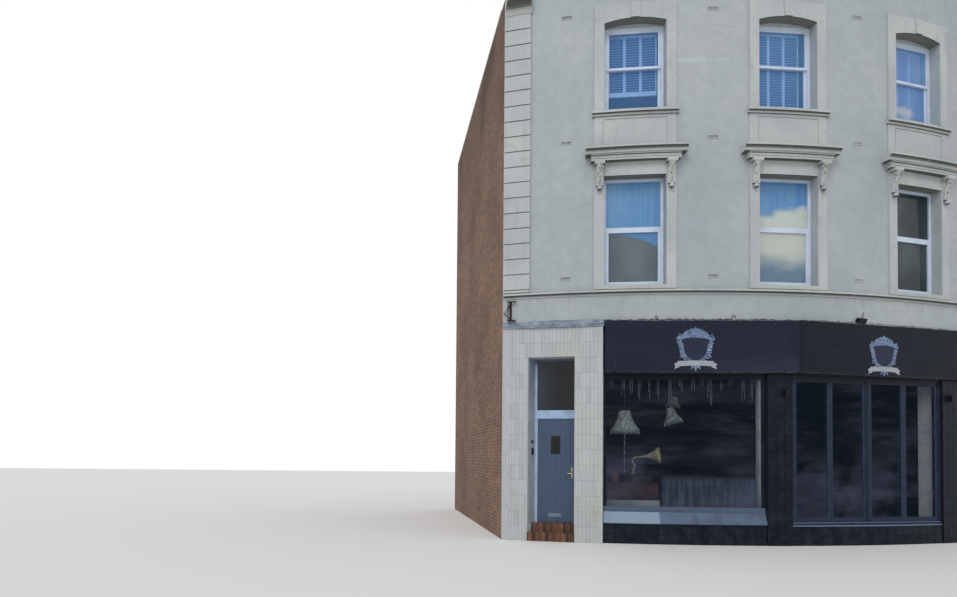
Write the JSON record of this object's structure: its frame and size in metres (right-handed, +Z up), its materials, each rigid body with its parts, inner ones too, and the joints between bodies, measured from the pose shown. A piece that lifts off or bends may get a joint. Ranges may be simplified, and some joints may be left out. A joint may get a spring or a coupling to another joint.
{
  "type": "corner shop building",
  "caption": "Three-storey rendered house with a bowed front of hooded and arched windows over a dark shop front with folding doors and a tiled street entrance, hollow, with floors.",
  "frame": {"origin": "on the ground in the middle of the plan: halfway between the party walls, and halfway between the middle of the bowed front face and the rear face", "axes": "+Z up, -Y towards the street that the middle bay faces, +X to the right for someone inside who faces the rear wall"},
  "size_m": [10.776, 9.3053, 11.4803],
  "materials": {
    "party_brick": "matte",
    "wall_render": "matte",
    "coping_stone": "matte",
    "floor_boards": "matte",
    "shop_floor": "satin",
    "roof_felt": "matte",
    "white_frames": "satin",
    "window_glass": "gloss",
    "cream_tiles": "gloss",
    "lead_flashing": "matte",
    "red_tiles": "satin",
    "door_paint": "satin",
    "white_paint": "satin",
    "brass": "polished",
    "hinge_steel": "satin",
    "shop_paint": "satin",
    "black_tiles": "gloss",
    "sill_paint": "satin",
    "fold_paint": "satin"
  },
  "bodies": {
    "house": {"party_wall_left": "party_brick", "party_wall_right": "party_brick", "rear_wall_piers": "party_brick", "rear_wall_panels": "party_brick", "front_wall_piers": "wall_render", "front_wall_panels": "wall_render", "shop_piers": "wall_render", "shop_beam": "wall_render", "ground_floor": "shop_floor", "first_floor": "floor_boards", "second_floor": "floor_boards", "roof_deck": "roof_felt", "parapet_coping": "coping_stone", "party_copings": "coping_stone", "string_course": "wall_render", "quoin_piers": "wall_render", "pier_caps": "wall_render", "second_floor_surrounds": "wall_render", "keystones": "wall_render", "second_floor_sills": "wall_render", "apron_panels": "wall_render", "first_floor_architraves": "wall_render", "window_hoods": "wall_render", "hood_brackets": "wall_render", "air_bricks": "wall_render", "first_floor_frames": "white_frames", "first_floor_casements": "white_frames", "first_floor_glass": "window_glass", "second_floor_frames": "white_frames", "second_floor_sashes": "white_frames", "second_floor_glass": "window_glass", "rear_frames": "white_frames", "rear_glass": "window_glass", "rear_sills": "coping_stone", "entrance_surround": "cream_tiles", "surround_flashing": "lead_flashing", "entrance_steps": "red_tiles", "door_frame": "white_paint", "fanlight_glass": "window_glass", "door_hinges": "hinge_steel", "plinth_walls": "black_tiles", "shop_window_sill": "sill_paint", "shop_window_frame": "shop_paint", "shop_window_glass": "window_glass", "tiled_pilasters": "black_tiles", "fold_door_frame": "fold_paint", "fold_door_leaves": "fold_paint", "fold_door_glass": "window_glass", "fascia_boards": "shop_paint", "display_plinth": "white_paint"},
    "front_door": {"front_door": "door_paint", "door_furniture": "brass"}
  },
  "joints": [
    {"name": "front_door_hinge", "type": "hinge", "parent": "house", "child": "front_door", "pos_m": [-4.64938, -3.40029, 0], "axis": [0, 0, 1], "range_deg": [0, 90]}
  ]
}
